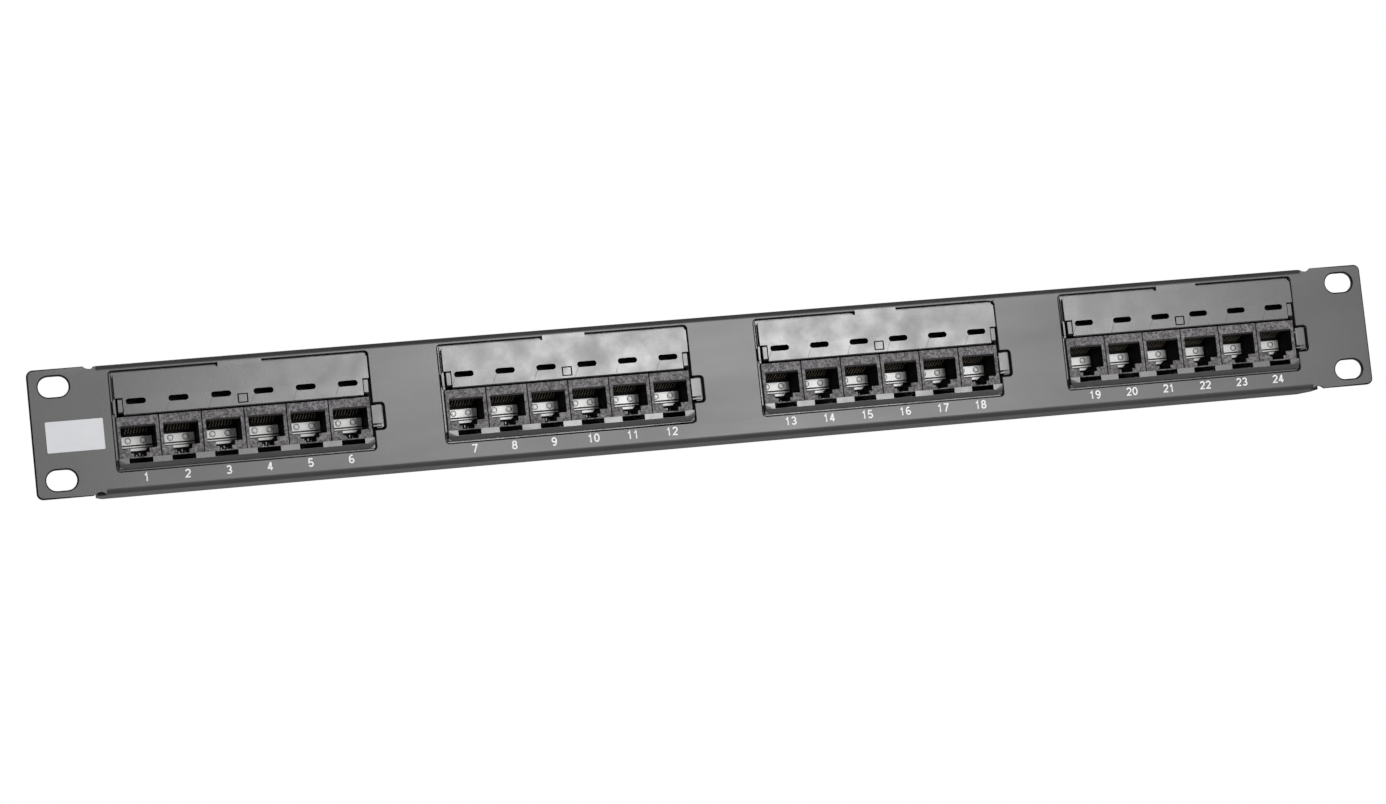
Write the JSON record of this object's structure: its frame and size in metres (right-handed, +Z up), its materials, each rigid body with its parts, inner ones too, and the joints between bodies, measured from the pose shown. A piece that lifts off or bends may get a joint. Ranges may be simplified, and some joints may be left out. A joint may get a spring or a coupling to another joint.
{
  "type": "patch panel",
  "caption": "Rack-mount network patch panel: folded steel plate with ears and snap-in jack modules, each with a hinged label flap and a sliding release latch.",
  "frame": {"origin": "centre of the plate's back face, which rests on the rack's rails", "axes": "+X right seen from the front, +Y to the rear, +Z up"},
  "size_m": [0.4826, 0.0331, 0.044],
  "materials": {
    "powder_coated_steel": "fine-textured black powder coat",
    "label_paper": "matte printed label stock",
    "frame_plastic": "semi-gloss black moulding",
    "flap_plastic": "semi-gloss smoke-black moulding",
    "latch_plastic": "semi-gloss black moulding",
    "board_laminate": "solder-masked laminate",
    "strip_plastic": "off-white moulding",
    "jack_plastic": "spark-eroded black moulding"
  },
  "bodies": {
    "panel": {"front_panel": "powder_coated_steel", "id_label": "label_paper", "module_frame_1": "frame_plastic", "circuit_board_1": "board_laminate", "idc_strip_1_upper": "strip_plastic", "idc_strip_1_lower": "strip_plastic", "module_frame_2": "frame_plastic", "circuit_board_2": "board_laminate", "idc_strip_2_upper": "strip_plastic", "idc_strip_2_lower": "strip_plastic", "module_frame_3": "frame_plastic", "circuit_board_3": "board_laminate", "idc_strip_3_upper": "strip_plastic", "idc_strip_3_lower": "strip_plastic", "module_frame_4": "frame_plastic", "circuit_board_4": "board_laminate", "idc_strip_4_upper": "strip_plastic", "idc_strip_4_lower": "strip_plastic", "jack_housing_01": "jack_plastic", "jack_housing_02": "jack_plastic", "jack_housing_03": "jack_plastic", "jack_housing_04": "jack_plastic", "jack_housing_05": "jack_plastic", "jack_housing_06": "jack_plastic", "jack_housing_07": "jack_plastic", "jack_housing_08": "jack_plastic", "jack_housing_09": "jack_plastic", "jack_housing_10": "jack_plastic", "jack_housing_11": "jack_plastic", "jack_housing_12": "jack_plastic", "jack_housing_13": "jack_plastic", "jack_housing_14": "jack_plastic", "jack_housing_15": "jack_plastic", "jack_housing_16": "jack_plastic", "jack_housing_17": "jack_plastic", "jack_housing_18": "jack_plastic", "jack_housing_19": "jack_plastic", "jack_housing_20": "jack_plastic", "jack_housing_21": "jack_plastic", "jack_housing_22": "jack_plastic", "jack_housing_23": "jack_plastic", "jack_housing_24": "jack_plastic"},
    "flap_1": {"label_flap_1": "flap_plastic"},
    "latch_1": {"release_latch_1": "latch_plastic"},
    "flap_2": {"label_flap_2": "flap_plastic"},
    "latch_2": {"release_latch_2": "latch_plastic"},
    "flap_3": {"label_flap_3": "flap_plastic"},
    "latch_3": {"release_latch_3": "latch_plastic"},
    "flap_4": {"label_flap_4": "flap_plastic"},
    "latch_4": {"release_latch_4": "latch_plastic"}
  },
  "joints": [
    {"name": "flap_1_hinge", "type": "hinge", "parent": "panel", "child": "flap_1", "pos_m": [-0.1693, -0.0006, 0.0074], "axis": [1, 0, 0], "range_deg": [0, 100]},
    {"name": "latch_1_slide", "type": "slide", "parent": "panel", "child": "latch_1", "axis": [-1, 0, 0], "range_m": [0, 0.0012], "stiffness_N_per_m": 1200, "springref_m": -0.0004},
    {"name": "flap_2_hinge", "type": "hinge", "parent": "panel", "child": "flap_2", "pos_m": [-0.0563, -0.0006, 0.0074], "axis": [1, 0, 0], "range_deg": [0, 100]},
    {"name": "latch_2_slide", "type": "slide", "parent": "panel", "child": "latch_2", "axis": [-1, 0, 0], "range_m": [0, 0.0012], "stiffness_N_per_m": 1200, "springref_m": -0.0004},
    {"name": "flap_3_hinge", "type": "hinge", "parent": "panel", "child": "flap_3", "pos_m": [0.0567, -0.0006, 0.0074], "axis": [1, 0, 0], "range_deg": [0, 100]},
    {"name": "latch_3_slide", "type": "slide", "parent": "panel", "child": "latch_3", "axis": [-1, 0, 0], "range_m": [0, 0.0012], "stiffness_N_per_m": 1200, "springref_m": -0.0004},
    {"name": "flap_4_hinge", "type": "hinge", "parent": "panel", "child": "flap_4", "pos_m": [0.1697, -0.0006, 0.0074], "axis": [1, 0, 0], "range_deg": [0, 100]},
    {"name": "latch_4_slide", "type": "slide", "parent": "panel", "child": "latch_4", "axis": [-1, 0, 0], "range_m": [0, 0.0012], "stiffness_N_per_m": 1200, "springref_m": -0.0004}
  ]
}
